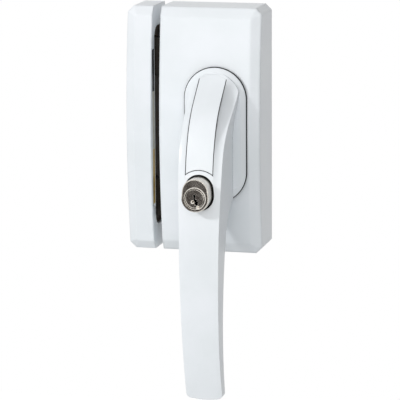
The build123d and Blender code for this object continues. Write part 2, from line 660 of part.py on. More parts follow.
def bolt_carriage():
    """A flat slide: an upright that carries the bolts and an arm that carries the rack."""
    top = BOLT_HEIGHTS[0] + BOLT_HEIGHT / 2
    bottom = BOLT_HEIGHTS[1] - BOLT_HEIGHT / 2
    body = slab(CARRIAGE_LEFT, CARRIAGE_RIGHT, bottom, top, CARRIAGE_NEAR, CARRIAGE_FAR)
    body += slab(CARRIAGE_LEFT, RACK_RIGHT, RACK_BOTTOM, RACK_ROOT, CARRIAGE_NEAR, CARRIAGE_FAR)
    body = drilled(body, RIVET_RADIUS + SEATED, [p for z in BOLT_HEIGHTS for p in rivet_places(z)])
    return drilled(body, RACK_RIVET + SEATED, RACK_RIVETS)


def rack():
    """A toothed bar under the pinion, with a tooth space straight below its axis."""
    rise = RACK_ADDENDUM * MODULE
    fall = DEDENDUM * MODULE
    slope = tan(radians(PRESSURE_ANGLE))
    half = PITCH / 4 - BACKLASH / 4
    body = slab(CARRIAGE_RIGHT, RACK_RIGHT, RACK_BOTTOM, RACK_ROOT, CARRIAGE_FAR, GEAR_FAR)
    for index in range(RACK_TEETH):
        x = PITCH / 2 - index * PITCH
        root = half + fall * slope
        tip = half - rise * slope
        tooth = Polyline(
            (x - root, RACK_ROOT - 0.5),
            (x - root, RACK_ROOT),
            (x - tip, rise - PITCH_RADIUS),
            (x + tip, rise - PITCH_RADIUS),
            (x + root, RACK_ROOT),
            (x + root, RACK_ROOT - 0.5),
            close=True,
        )
        body += raised(make_face(tooth), GEAR_NEAR, GEAR_FAR)
    body &= slab(CARRIAGE_RIGHT, RACK_RIGHT, RACK_BOTTOM, 0, CARRIAGE_FAR, GEAR_FAR)
    for x, z in RACK_RIVETS:
        body -= rod(RACK_RIVET + SEATED, x, z, CARRIAGE_FAR - 1, CARRIAGE_FAR + RIVET_LENGTH + 0.5)
    return body


def rack_rivet(x, z):
    return rod(RACK_RIVET, x, z, CARRIAGE_NEAR, CARRIAGE_FAR + RIVET_LENGTH)


def involute(radius, base):
    """The angle that an involute has turned through where it reaches a radius."""
    return sqrt((radius / base) ** 2 - 1) - acos(base / radius)


def pinion_outline():
    """Involute teeth, one of them pointing straight down into the rack."""
    base = PITCH_RADIUS * cos(radians(PRESSURE_ANGLE))
    tip = PITCH_RADIUS + PINION_ADDENDUM * MODULE
    root = PITCH_RADIUS - TOOTH_FALL * MODULE
    offset = (PITCH / 4 - BACKLASH / 4) / PITCH_RADIUS + involute(PITCH_RADIUS, base)
    radii = [base + (tip - base) * step / 4 for step in range(5)]
    flank = [(root, offset)] + [(radius, offset - involute(radius, base)) for radius in radii]
    points = []
    for index in range(PINION_TEETH):
        middle = -pi / 2 + 2 * pi * index / PINION_TEETH
        for radius, angle in [(r, -a) for r, a in flank] + flank[::-1]:
            points.append((radius * cos(middle + angle), radius * sin(middle + angle)))
    return make_face(Polyline(*points, close=True))


def spindle_sides(half):
    return -half, half, -half, half


def hub_pinion():
    """The pinion, its journal in the gear plate and its square detent collar, in one piece."""
    body = raised(pinion_outline(), GEAR_NEAR, GEAR_FAR)
    body += rod(JOURNAL_RADIUS, 0, 0, GEAR_PLATE_NEAR + 0.2, CARRIAGE_FAR)
    body += rod(PITCH_RADIUS - MODULE / 2, 0, 0, CARRIAGE_FAR, GEAR_NEAR)
    square = RectangleRounded(DETENT_SQUARE, DETENT_SQUARE, DETENT_CORNER)
    body += raised(square, GEAR_FAR, DETENT_FAR)
    return body - slab(*spindle_sides(SPINDLE_HOLE), 0, CASE_DEPTH)


def rear_bush():
    inner = JOURNAL_RADIUS + RUNNING
    return tube(JOURNAL_OUTER, inner, 0, 0, GEAR_PLATE_NEAR, GEAR_PLATE_FAR)


# Handle: one casting of a long round-ended base, a neck that rises from it and the lever.
# The shape is drawn with lines that run down it. Each row is a point of all six lines at one
# height: the depth on the middle line, the depth at the edge of the cover strip, half the
# width and the depth at the shoulder, how far the shoulder swells (or hollows, if negative),
# and half the width at the foot.
OUTER_LINES = [
    (36.4, 37.2, 37.0, 15.5, 36.7, -0.05, 15.6),
    (31.0, 43.6, 43.2, 15.2, 37.1, -0.8, 15.2),
    (25.0, 51.0, 50.5, 14.8, 40.2, -1.8, 14.8),
    (13.5, 62.3, 61.9, 13.9, 53.2, -1.9, 12.4),
    (-1.5, 69.6, 69.2, 13.1, 66.2, -0.7, 10.8),
    (-15.0, 72.8, 72.4, 12.9, 70.6, -0.3, 10.7),
    (-27.0, 73.7, 73.4, 12.6, 72.4, 0.0, 10.8),
    (-42.0, 74.5, 74.2, 12.1, 73.7, 0.05, 11.0),
    (-67.0, 75.4, 75.1, 11.6, 74.7, 0.05, 11.2),
    (-95.0, 74.3, 74.0, 11.2, 73.6, 0.05, 11.1),
    (-123.0, 70.7, 70.4, 10.9, 70.0, 0.05, 10.9),
    (-153.0, 62.7, 62.4, 10.8, 62.0, 0.05, 10.8),
]
UNDER_LINE = [
    (-39.7, 43.0),
    (-44.6, 50.2),
    (-57.4, 56.6),
    (-75.0, 60.4),
    (-99.8, 62.3),
    (-121.6, 61.4),
    (-154.0, 55.6),
]
LINE_BASE_HALF = 39.7  # the sizes that the lines were drawn at
LINE_REACH = 151.6
LINE_FOOT = 37.0
LINE_RISE = 38.4
LINE_SLEEVE = 8.9
SECTIONS = 28


def line_height(z):
    """The neck follows the base's length, and the lever beyond it follows the reach."""
    if z >= -LINE_BASE_HALF:
        return z * BASE_HALF / LINE_BASE_HALF
    share = (-z - LINE_BASE_HALF) / (LINE_REACH - LINE_BASE_HALF)
    return -BASE_HALF - share * (LEVER_REACH - BASE_HALF)


def line_depth(depth):
    return BASE_FAR + (depth - LINE_FOOT) * HANDLE_RISE / LINE_RISE


def line_width(half):
    """The widths follow the sleeve, which the neck has to hold."""
    return half + BARREL_RADIUS + SLEEVE_OUTER - LINE_SLEEVE + NECK_SIDE - 2


def outer_line(column):
    """One of the lines down the handle, over the height as the lines were drawn."""
    return Spline(*[(row[0], row[column]) for row in OUTER_LINES])


def at_height(line, z):
    """The value of a line at a height, found by halving."""
    start, end = 0.0, 1.0
    for _ in range(40):
        middle = (start + end) / 2
        if (line @ middle).X > z:
            start = middle
        else:
            end = middle
    return (line @ start).Y


def lever_section(z, centre, strip, shoulder_x, shoulder, swell, foot_x):
    """The handle cut square at a height, as seen from above."""
    level = Plane((0, 0, line_height(z)), x_dir=(1, 0, 0), z_dir=(0, 0, -1))
    low = BASE_FAR - 1
    outline = []
    for side in (1, -1):
        edge = Vector(side * STRIP_HALF_WIDTH, line_depth(strip))
        corner = Vector(side * line_width(shoulder_x), line_depth(shoulder))
        along = (corner - edge).normalized()
        outwards = Vector(-along.Y * side, along.X * side)
        middle = (edge + corner) * 0.5 + outwards * swell
        outline.append(ThreePointArc(edge, middle, corner))
        outline.append(Line(corner, (side * line_width(foot_x), low)))
    strip_left = (-STRIP_HALF_WIDTH, line_depth(strip))
    strip_right = (STRIP_HALF_WIDTH, line_depth(strip))
    outline.append(ThreePointArc(strip_left, (0, line_depth(centre)), strip_right))
    outline.append(Line((-line_width(foot_x), low), (line_width(foot_x), low)))
    return level * make_face(outline)


def stadium(radius):
    return SlotCenterToCenter(BASE_STRAIGHT, 2 * radius, rotation=90)


def drawn_body():
    """A smooth body through even sections of the outer lines."""
    lines = [outer_line(column) for column in range(1, len(OUTER_LINES[0]))]
    top, bottom = OUTER_LINES[0][0], OUTER_LINES[-1][0]
    heights = [top + (bottom - top) * step / SECTIONS for step in range(SECTIONS + 1)]
    return loft([lever_section(z, *[at_height(line, z) for line in lines]) for z in heights])


def below(height):
    """Everything in front of the wall, from the top of the base down to a height."""
    return slab(-2 * BASE_RADIUS, 2 * BASE_RADIUS, -height, 0, 0, 2 * HANDLE_DEPTH)


def under_space():
    """The open space behind the lever, where the fingers go."""
    drawn = [(line_depth(depth), line_height(z)) for z, depth in UNDER_LINE]
    start = (BASE_FAR - SEATED, NECK_END)
    low = (BASE_NEAR, NECK_END)
    outline = [
        Line(low, start),
        Spline(start, *drawn),
        Line(drawn[-1], (BASE_NEAR, drawn[-1][1])),
        Line((BASE_NEAR, drawn[-1][1]), low),
    ]
    return across(make_face(outline), 2 * BASE_RADIUS)


def end_space():
    """What is past the lever's end, which is slightly round and has round corners."""
    half = line_width(OUTER_LINES[-1][3])
    shoulder = LEVER_END_BULGE - LEVER_REACH
    outline = [
        Line((-half, 0), (-half, shoulder)),
        ThreePointArc((-half, shoulder), (0, -LEVER_REACH), (half, shoulder)),
        Line((half, shoulder), (half, 0)),
        Line((half, 0), (-half, 0)),
    ]
    inside = raised(make_face(outline), 0, 2 * HANDLE_DEPTH)
    corners = inside.edges().filter_by(Axis.Y).group_by(Axis.Z)[0]
    inside = fillet(corners, LEVER_END_ROUND)
    return below(2 * LEVER_REACH) - below(-shoulder - LEVER_END_ROUND) - inside


def lever_body():
    """The neck and lever, cut back to the flat of the base and hollowed behind."""
    rim = raised(stadium(BASE_RADIUS - BASE_RIM), 0, 2 * HANDLE_DEPTH)
    return (drawn_body() & (rim + below(2 * LEVER_REACH))) - under_space() - end_space()


def egg(grow):
    """The cylinder's outline: a circle round the plug and a smaller one round the pin chamber."""
    low = Pos(0, PLUG_HEIGHT) * Circle(BARREL_RADIUS + grow)
    high = Pos(0, BARREL_TOP - CHAMBER_RADIUS) * Circle(CHAMBER_RADIUS + grow)
    return make_hull(low.edges() + high.edges())


def strip_space(shrink):
    """The recess for the cover strip, or, shrunk by its fit, the room that the strip fills."""
    floor = [
        (line_depth(row[1]) - STRIP_THICKNESS, line_height(row[0]))
        for row in OUTER_LINES
        if line_height(row[0]) > BARREL_BOTTOM
    ]
    high = 2 * HANDLE_DEPTH
    outline = [
        Spline(*floor),
        Line(floor[-1], (high, floor[-1][1])),
        Line((high, floor[-1][1]), (high, floor[0][1])),
        Line((high, floor[0][1]), floor[0]),
    ]
    space = across(make_face(outline), STRIP_HALF_WIDTH - shrink)
    space &= raised(stadium(BASE_RADIUS - BASE_RIM - STRIP_LIP), 0, high)
    ring = (BARREL_TOP - BARREL_BOTTOM) / 2 + STRIP_RING + shrink
    return space - rod(ring, 0, BARREL_MIDDLE, 0, high)


def handle_casting(outer):
    base = raised(stadium(BASE_RADIUS), BASE_NEAR, BASE_FAR)
    front = base.faces().sort_by(Axis.Y)[0]
    drop = BASE_THICKNESS - BASE_EDGE
    base = chamfer(front.edges(), length=BASE_RIM, length2=drop, reference=front)
    body = base + outer + rod(BOSS_RADIUS, 0, 0, BOSS_NEAR, BASE_NEAR)
    body -= strip_space(0)
    body -= slab(*spindle_sides(SPINDLE_HOLE), 0, SPINDLE_FAR + SLIDING)
    body -= rod(HUB_SCREW_RADIUS + SLIDING, 0, 0, SPINDLE_FAR - 1, HUB_SCREW_SEAT + 1)
    body -= rod(HUB_SCREW_HEAD + SLIDING, 0, 0, HUB_SCREW_SEAT, 2 * HANDLE_DEPTH)
    groove = (RING_NEAR - RUNNING, RING_NEAR + RING_THICKNESS + RUNNING)
    body -= tube(BOSS_RADIUS + 1, BOSS_RADIUS - RING_GROOVE, 0, 0, *groove)
    body -= raised(egg(SLEEVE_OUTER + SEATED), SLEEVE_NEAR, 2 * HANDLE_DEPTH)
    return body - rod(LOCK_PIN_RADIUS + SLIDING, 0, LOCK_PIN_HEIGHT, 0, SLEEVE_NEAR + 1)


def base_seal():
    """A soft ring stuck behind the base's rim, which shows as a dark line round the base."""
    far = BASE_NEAR - SEATED
    ring = raised(stadium(BASE_RADIUS + SEAL_PROUD), far - SEAL_THICKNESS, far)
    return ring - raised(stadium(BASE_RADIUS + SEAL_PROUD - SEAL_WIDTH), 0, BASE_NEAR)


def cover_strip(outer):
    return outer & strip_space(STRIP_FIT)


def spindle():
    body = slab(*spindle_sides(SPINDLE_SQUARE / 2), -SPINDLE_OUT, SPINDLE_FAR)
    body = chamfer(body.faces().sort_by(Axis.Y)[-1].edges(), SPINDLE_CHAMFER)
    hole = HUB_SCREW_SEAT - HUB_SCREW_LENGTH - 1
    return body - rod(HUB_SCREW_RADIUS + SEATED, 0, 0, hole, SPINDLE_FAR + 1)


def hub_screw():
    """The screw under the cover strip that draws the handle onto the spindle."""
    far = HUB_SCREW_SEAT + HUB_SCREW_HEAD_HEIGHT
    body = rod(HUB_SCREW_RADIUS, 0, 0, HUB_SCREW_SEAT - HUB_SCREW_LENGTH, HUB_SCREW_SEAT)
    body += rod(HUB_SCREW_HEAD, 0, 0, HUB_SCREW_SEAT, far)
    return body - raised(RegularPolygon(HUB_SCREW_KEY, 6), far - HUB_SCREW_KEY_SINK, far + 1)


def retaining_ring():
    """A snap ring in the boss's groove, behind the bush."""
    outer = BOSS_RADIUS + RUNNING + BUSH_WALL + RING_GROOVE / 2
    inner = BOSS_RADIUS - RING_GROOVE + SEATED
    ring = tube(outer, inner, 0, 0, RING_NEAR, RING_NEAR + RING_THICKNESS)
    half = RING_OPENING / 2
    return ring - slab(-half, half, -2 * BOSS_RADIUS, 0, 0, CASE_DEPTH)


# Push cylinder: an egg-shaped barrel in a guide sleeve, thrown out by a spring round its pin.
def cylinder_sleeve():
    body = raised(egg(SLEEVE_OUTER), SLEEVE_NEAR, SLEEVE_FAR)
    body -= raised(egg(SLIDING), SLEEVE_NEAR + SLEEVE_FLOOR, SLEEVE_FAR + 1)
    body -= rod(LOCK_PIN_RADIUS + SLIDING, 0, LOCK_PIN_HEIGHT, SLEEVE_NEAR - 1, SLEEVE_FAR)
    reach = STOP_PIN_RADIUS + SLIDING
    near, far = STOP_PIN_AT - CYLINDER_TRAVEL - reach, STOP_PIN_AT + reach
    sides = (0, 2 * BARREL_RADIUS, PLUG_HEIGHT - reach, PLUG_HEIGHT + reach)
    return body - slab(*sides, near, far)


def return_spring():
    """The coil spring round the lock pin, drawn as the sleeve that its coils fill."""
    inner = LOCK_PIN_RADIUS + SLIDING
    near = SLEEVE_NEAR + SLEEVE_FLOOR
    return tube(inner + SPRING_WIRE, inner, 0, LOCK_PIN_HEIGHT, near, BARREL_NEAR)


def cylinder_barrel():
    body = raised(egg(0), BARREL_NEAR, CYLINDER_FACE)
    body = chamfer(body.faces().sort_by(Axis.Y)[0].edges(), BARREL_CHAMFER)
    body -= rod(PLUG_RADIUS + RUNNING, 0, PLUG_HEIGHT, PLUG_NEAR, CYLINDER_FACE + 1)
    half = CAM_LUG + SLIDING
    window = (-2 * BARREL_RADIUS, half, PLUG_HEIGHT - half, PLUG_HEIGHT + half)
    body -= slab(*window, PLUG_NEAR - CAM_WINDOW, PLUG_NEAR + 0.01)
    for depth in PIN_DEPTHS:
        body -= upright(PIN_RADIUS + SLIDING / 2, depth, PLUG_HEIGHT, BARREL_TOP)
    body -= chamber_space(0)
    body -= rod(LOCK_PIN_RADIUS + SEATED, 0, LOCK_PIN_HEIGHT, 0, LOCK_PIN_END + LOCK_PIN_SPARE)
    hole = Pos(BARREL_RADIUS, -STOP_PIN_AT, PLUG_HEIGHT) * Rot(0, 90, 0)
    return body - hole * Cylinder(STOP_PIN_RADIUS + SEATED, 2 * STOP_PIN_SEAT + 1)


def chamber_space(shrink):
    """The slot along the barrel's top that closes the pin holes."""
    half = PIN_RADIUS + CHAMBER_SIDE - shrink
    near = PIN_DEPTHS[-1] - CHAMBER_END + shrink
    far = PIN_DEPTHS[0] + CHAMBER_END - shrink
    return slab(-half, half, BARREL_TOP - CHAMBER_COVER, BARREL_TOP + 1, near, far)


def chamber_cover():
    return chamber_space(SEATED) & raised(egg(-SEATED), 0, CYLINDER_FACE)


def stop_pin():
    """A cross pin that runs in the sleeve's slot, so the spring can't throw the barrel out."""
    left, right = BARREL_RADIUS - STOP_PIN_SEAT, BARREL_RADIUS + SLEEVE_OUTER - RUNNING
    middle = Pos((left + right) / 2, -STOP_PIN_AT, PLUG_HEIGHT) * Rot(0, 90, 0)
    return middle * Cylinder(STOP_PIN_RADIUS, right - left)


def lock_pin():
    near = BASE_NEAR + LOCK_PIN_RECESS
    body = rod(LOCK_PIN_RADIUS, 0, LOCK_PIN_HEIGHT, near, LOCK_PIN_END)
    return chamfer(body.faces().sort_by(Axis.Y)[-1].edges(), LOCK_PIN_CHAMFER)


def driver_pin(depth):
    return upright(PIN_RADIUS, depth, DRIVER_BOTTOM, DRIVER_TOP)


def pin_spring(depth):
    top = BARREL_TOP - CHAMBER_COVER
    coil = upright(PIN_RADIUS, depth, DRIVER_TOP, top)
    return coil - upright(PIN_RADIUS - PIN_SPRING_WIRE, depth, DRIVER_TOP, top)


def plug():
    far = CYLINDER_FACE + PLUG_PROUD
    body = rod(PLUG_RADIUS, 0, PLUG_HEIGHT, PLUG_NEAR, far)
    body = chamfer(body.faces().sort_by(Axis.Y)[0].edges(), PLUG_CHAMFER)
    groove = PLUG_RADIUS - PLUG_RIM
    body -= tube(groove, groove - PLUG_GROOVE, 0, PLUG_HEIGHT, far - PLUG_GROOVE, far)
    body += rod(SPIGOT_RADIUS, 0, PLUG_HEIGHT, PLUG_NEAR - CAM_WINDOW + SLIDING, PLUG_NEAR)
    near = far - KEYWAY_LENGTH
    body -= rod(KEYWAY_HOLE, KEYWAY_LEAN, PLUG_HEIGHT + KEYWAY_TOP, near, far + 1)
    for left, right, low, high in KEYWAY_STEPS:
        body -= slab(left, right, PLUG_HEIGHT + low, PLUG_HEIGHT + high, near, far + 1)
    for x, z in MARKS:
        body -= cone(MARK_RADIUS / 4, MARK_RADIUS, x, PLUG_HEIGHT + z, far - MARK_DEPTH, far)
    for depth in PIN_DEPTHS:
        body -= upright(PIN_RADIUS + SLIDING / 2, depth, PLUG_HEIGHT + 1, SHEAR_LINE + 1)
    return body


def key_pin(depth, cut):
    top = PLUG_HEIGHT + sqrt(PLUG_RADIUS**2 - PIN_RADIUS**2)
    return upright(PIN_RADIUS, depth, PLUG_HEIGHT + KEY_PIN_START + cut, top)


def plug_cam():
    """The lug on the plug's rear end, which turns in the barrel's window."""
    lug = Pos(0, PLUG_HEIGHT + CAM_LUG / 2) * Rectangle(CAM_RADIUS, CAM_LUG)
    disc = Pos(0, PLUG_HEIGHT) * Circle(CAM_RADIUS)
    reach = Pos(0, PLUG_HEIGHT) * Circle(CAM_LUG)
    near = PLUG_NEAR - CAM_THICKNESS - SLIDING
    body = raised((disc + lug) & reach, near, PLUG_NEAR - SLIDING)
    return body - rod(SPIGOT_RADIUS + SEATED, 0, PLUG_HEIGHT, 0, PLUG_NEAR)


def cam_clip():
    near = PLUG_NEAR - CAM_THICKNESS - SLIDING - CLIP_THICKNESS - SEATED
    ring = tube(CAM_RADIUS, SPIGOT_RADIUS + SEATED, 0, PLUG_HEIGHT, near, near + CLIP_THICKNESS)
    half = CLIP_OPENING / 2
    return ring - slab(-half, half, PLUG_HEIGHT - 2 * CAM_RADIUS, PLUG_HEIGHT, 0, PLUG_NEAR)


save("mounting_plate", mounting_plate())
save("gear_plate", gear_plate())
save("lock_plate", lock_plate())
save("plate_pillars", *[pillar(x, z) for x, z in PILLARS])
save("case_cover", case_cover())
save("glide_ring", glide_ring())
save("handle_bush", handle_bush())
save("rear_bush", rear_bush())
save("lock_keepers", *[lock_keeper(x, z) for x, z in KEEPERS])
save("long_screws", *[long_screw(z) for z in SCREW_HEIGHTS])
save("bolt_rails", *[bolt_rail(z) for z in RAIL_HEIGHTS])
save("rail_screws", *[rail_screw(z) for z in RAIL_HEIGHTS])
save("detent_posts", detent_post(1), detent_post(-1))
save("detent_spring", detent_spring())

save("strike_housing", strike_housing())
save("strike_liner", strike_liner())
save("strike_rail", strike_rail())
save("strike_bar", groove_strip(BAR_START, BAR_LENGTH))
FILLER_START = BAR_START + BAR_LENGTH + SEATED
save("strike_filler", groove_strip(FILLER_START, FILLER_LENGTH))
BUFFER_START = FILLER_START + FILLER_LENGTH + SEATED
save("strike_buffer", groove_strip(BUFFER_START, GROOVE_LENGTH - BUFFER_START - SEATED))
save("strike_screws", *[strike_screw(z) for z in STRIKE_SCREWS])

save("bolt_carriage", bolt_carriage())
save("rack", rack())
save("upper_bolt", bolt(BOLT_HEIGHTS[0]))
save("lower_bolt", bolt(BOLT_HEIGHTS[1]))
save("bolt_rivets", *[bolt_rivet(x, h) for z in BOLT_HEIGHTS for x, h in rivet_places(z)])
save("rack_rivets", *[rack_rivet(x, z) for x, z in RACK_RIVETS])

lever = lever_body()
save("handle_casting", handle_casting(lever))
save("cover_strip", cover_strip(lever))
save("base_seal", base_seal())
save("spindle", spindle())
save("hub_screw", hub_screw())
save("hub_pinion", hub_pinion())
save("retaining_ring", retaining_ring())
save("cylinder_sleeve", cylinder_sleeve())
save("return_spring", return_spring())

save("cylinder_barrel", cylinder_barrel())
save("chamber_cover", chamber_cover())
save("stop_pin", stop_pin())
save("lock_pin", lock_pin())
save("driver_pins", *[driver_pin(depth) for depth in PIN_DEPTHS])
save("pin_springs", *[pin_spring(depth) for depth in PIN_DEPTHS])

save("plug", plug())
save("key_pins", *[key_pin(depth, cut) for depth, cut in zip(PIN_DEPTHS, KEY_CUTS)])
save("plug_cam", plug_cam())
save("cam_clip", cam_clip())
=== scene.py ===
# Locking window handle: a white handle on a lock case, beside the strike that its bolts enter.
# Metres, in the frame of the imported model: X to the right, Y into the window, Z up, and the
# origin on the spindle's axis at the window's face.
import math

import bmesh
import bpy
from mathutils import Matrix, Vector


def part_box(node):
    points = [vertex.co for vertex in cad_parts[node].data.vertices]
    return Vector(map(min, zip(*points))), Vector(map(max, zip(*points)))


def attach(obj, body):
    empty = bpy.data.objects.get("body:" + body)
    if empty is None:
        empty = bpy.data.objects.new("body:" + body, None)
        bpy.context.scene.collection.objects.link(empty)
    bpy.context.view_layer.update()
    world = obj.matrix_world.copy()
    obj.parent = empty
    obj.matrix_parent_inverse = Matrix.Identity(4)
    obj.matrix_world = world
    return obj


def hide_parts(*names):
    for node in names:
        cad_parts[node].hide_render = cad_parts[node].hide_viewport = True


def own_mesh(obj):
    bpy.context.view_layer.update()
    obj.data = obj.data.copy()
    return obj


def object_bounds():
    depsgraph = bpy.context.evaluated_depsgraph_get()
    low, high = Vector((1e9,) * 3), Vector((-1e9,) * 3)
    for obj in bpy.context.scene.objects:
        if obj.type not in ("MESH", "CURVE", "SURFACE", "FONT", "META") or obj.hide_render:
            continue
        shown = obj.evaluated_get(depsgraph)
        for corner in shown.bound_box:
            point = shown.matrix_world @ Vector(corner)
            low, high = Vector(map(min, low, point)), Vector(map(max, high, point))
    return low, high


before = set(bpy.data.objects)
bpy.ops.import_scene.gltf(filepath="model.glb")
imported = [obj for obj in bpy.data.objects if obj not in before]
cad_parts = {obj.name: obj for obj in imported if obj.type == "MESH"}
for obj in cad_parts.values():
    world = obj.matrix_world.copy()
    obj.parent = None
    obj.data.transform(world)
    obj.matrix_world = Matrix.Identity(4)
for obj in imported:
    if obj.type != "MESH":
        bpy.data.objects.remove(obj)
cad_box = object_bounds()
scene = bpy.context.scene
MM = 0.001


# Room: a plain pale floor well below the object, which hangs from its mount, in a white room.
# The room lights every side evenly, and camera and mirror rays see it as plain white.
def colour(hex_text):
    """A linear colour from an sRGB hex value."""
    channels = [int(hex_text[i : i + 2], 16) / 255 for i in (1, 3, 5)]
    linear = [c / 12.92 if c <= 0.04045 else ((c + 0.055) / 1.055) ** 2.4 for c in channels]
    return (*linear, 1.0)


def add(tree, kind, settings=None, inputs=None):
    """A node with its settings, its input values and its links."""
    node = tree.nodes.new("ShaderNode" + kind)
    for key, value in (settings or {}).items():
        setattr(node, key, value)
    for key, value in (inputs or {}).items():
        if isinstance(value, bpy.types.NodeSocket):
            tree.links.new(value, node.inputs[key])
        else:
            node.inputs[key].default_value = value
    return node


def seen_rays(tree, *kinds):
    """One for rays from the camera or of the given kinds, and zero for the light on things."""
    rays = add(tree, "LightPath")
    seen = rays.outputs["Is Camera Ray"]
    for kind in kinds:
        either = {0: seen, 1: rays.outputs[kind]}
        seen = add(tree, "Math", {"operation": "MAXIMUM"}, either).outputs[0]
    return seen


def placed(name, bm, material):
    """A mesh object in the scene, from a finished bmesh and with one material."""
    mesh = bpy.data.meshes.new(name)
    bm.to_mesh(mesh)
    bm.free()
    mesh.materials.append(material)
    made = bpy.data.objects.new(name, mesh)
    scene.collection.objects.link(made)
    return made


ROOM_LIGHT = 0.405
world = bpy.data.worlds.new("white_room")
scene.world = world
world.use_nodes = True
tree = world.node_tree
tree.nodes.clear()
seen = seen_rays(tree, "Is Glossy Ray", "Is Transmission Ray")
strength = add(tree, "Mix", None, {0: seen, 2: ROOM_LIGHT, 3: 1.0})
walls = add(tree, "Background", None, {"Color": (1, 1, 1, 1), "Strength": strength.outputs[0]})
add(tree, "OutputWorld", None, {"Surface": walls.outputs[0]})
scene.view_settings.view_transform = "Standard"

FLOOR_DROP = 1.8  # low enough that it doesn't hide the object from below
FLOOR_REACH = 6.0
FLOOR_GLOW = 0.64  # lifts the lit floor to white for the camera, and a shadow on it stays
pale_paint = bpy.data.materials.new("pale_floor_paint")
pale_paint.use_nodes = True
tree = pale_paint.node_tree
tree.nodes.clear()
matt = add(tree, "BsdfDiffuse", None, {"Color": colour("#d8dadb")})
rays = add(tree, "LightPath")
camera_only = {0: rays.outputs["Is Camera Ray"], 1: FLOOR_GLOW}
lift = add(tree, "Math", {"operation": "MULTIPLY"}, camera_only)
glow = add(tree, "Emission", None, {"Color": (1, 1, 1, 1), "Strength": lift.outputs[0]})
lit = add(tree, "AddShader", None, {0: matt.outputs[0], 1: glow.outputs[0]})
white = add(tree, "Emission", None, {"Color": (1, 1, 1, 1), "Strength": 1.0})
choice = {0: rays.outputs["Is Glossy Ray"], 1: lit.outputs[0], 2: white.outputs[0]}
paint = add(tree, "MixShader", None, choice)
add(tree, "OutputMaterial", None, {"Surface": paint.outputs[0]})
bm = bmesh.new()
bmesh.ops.create_grid(bm, x_segments=1, y_segments=1, size=FLOOR_REACH)
bmesh.ops.translate(bm, verts=bm.verts, vec=(0, 0, cad_box[0].z - FLOOR_DROP))
placed("floor", bm, pale_paint)


# Light: one softened key from the upper left, in front, and a wide fill from the front. Dark
# cards stand in mirror line with the camera for the nickel's face and its lower left, as in a
# studio. Only reflections see them.
def towards(azimuth, elevation):
    """The direction to a place round the object, from the front to the right, and up."""
    turn, rise = math.radians(azimuth), math.radians(elevation)
    flat = math.cos(rise)
    return Vector((math.sin(turn) * flat, -math.cos(turn) * flat, math.sin(rise)))


def lamp(name, kind, power, direction, distance, **settings):
    """A lamp that shines on the origin from that direction."""
    data = bpy.data.lights.new(name, kind)
    data.energy = power
    for key, value in settings.items():
        setattr(data, key, value)
    made = bpy.data.objects.new(name, data)
    made.location = direction * distance
    made.rotation_euler = direction.to_track_quat("Z", "Y").to_euler()
    scene.collection.objects.link(made)


KEY_SOFTNESS = math.radians(6)
lamp("key", "SUN", power=1.07, direction=towards(-42, 28), distance=1.0, angle=KEY_SOFTNESS)
FILL = {"power": 10.4, "distance": 1.6, "shape": "SQUARE", "size": 1.4}
lamp("fill", "AREA", direction=towards(3, 10), **FILL)

CARD_AWAY = 0.55
CARDS = {"face_card": (towards(-15, -13), 0.32), "flank_card": (towards(-105, -38), 0.45)}
dark_felt = bpy.data.materials.new("dark_felt")
dark_felt.use_nodes = True
tree = dark_felt.node_tree
tree.nodes.clear()
felt = add(tree, "Emission", None, {"Color": colour("#474240"), "Strength": 1.0})
add(tree, "OutputMaterial", None, {"Surface": felt.outputs[0]})
for name, (way, side) in CARDS.items():
    bm = bmesh.new()
    bmesh.ops.create_grid(bm, x_segments=1, y_segments=1, size=side / 2)
    aim = way.to_track_quat("Z", "Y").to_matrix().to_4x4()
    bmesh.ops.transform(bm, matrix=Matrix.Translation(way * CARD_AWAY) @ aim, verts=bm.verts)
    card = placed(name, bm, dark_felt)
    for kind in ("camera", "diffuse", "shadow", "transmission"):
        setattr(card, "visible_" + kind, False)


# Camera: it stands where the photograph was taken from, 15 degrees to the right and 11 degrees
# up, with a long lens.
CAMERA_AT = Vector((0.3548, -1.4269, 0.2486))
LOOKS_AT = Vector((-0.0122, -0.0242, -0.0410))
LENS = 225.1
FILM_WIDTH = 36
ROLL = math.radians(-0.35)
eye = bpy.data.cameras.new("camera")
eye.lens = LENS
eye.sensor_width = FILM_WIDTH
camera = bpy.data.objects.new("camera", eye)
camera.location = CAMERA_AT
aim = (LOOKS_AT - CAMERA_AT).to_track_quat("-Z", "Y")
camera.rotation_mode = "QUATERNION"
camera.rotation_quaternion = aim @ Matrix.Rotation(ROLL, 3, "Z").to_quaternion()
scene.collection.objects.link(camera)
scene.camera = camera


# Mounting plate, gear plate and lock plate: 2 mm cold-rolled steel, stamped, and bright zinc
# plated in a barrel, like the turned pillars and keepers. The first is screwed to the sash, the
# others are riveted to four pillars.
def begin(name, inputs):
    """A material with one principled shader, and the object's own coordinates in metres."""
    material = bpy.data.materials.new(name)
    material.use_nodes = True
    tree = material.node_tree
    tree.nodes.clear()
    shader = add(tree, "BsdfPrincipled", None, inputs)
    add(tree, "OutputMaterial", None, {"Surface": shader.outputs[0]})
    place = add(tree, "TexCoord").outputs["Object"]
    return material, tree, shader, place


def vary(tree, shader, place, size, low, high, rough):
    """Two tones and two roughnesses that drift into each other over patches of a real size."""
    patches = add(tree, "TexNoise", None, {"Vector": place, "Scale": 1 / size, "Detail": 4.0})
    spread = {"From Min": 0.35, "From Max": 0.65}  # the noise seldom leaves this range
    share = add(tree, "MapRange", None, {"Value": patches.outputs[0], **spread})
    tones = {0: share.outputs[0], 6: colour(low), 7: colour(high)}
    tone = add(tree, "Mix", {"data_type": "RGBA"}, tones)
    tree.links.new(tone.outputs[2], shader.inputs["Base Color"])
    dull = {"To Min": rough[0], "To Max": rough[1]}
    sheen = add(tree, "MapRange", None, {"Value": patches.outputs[0], **spread, **dull})
    tree.links.new(sheen.outputs[0], shader.inputs["Roughness"])


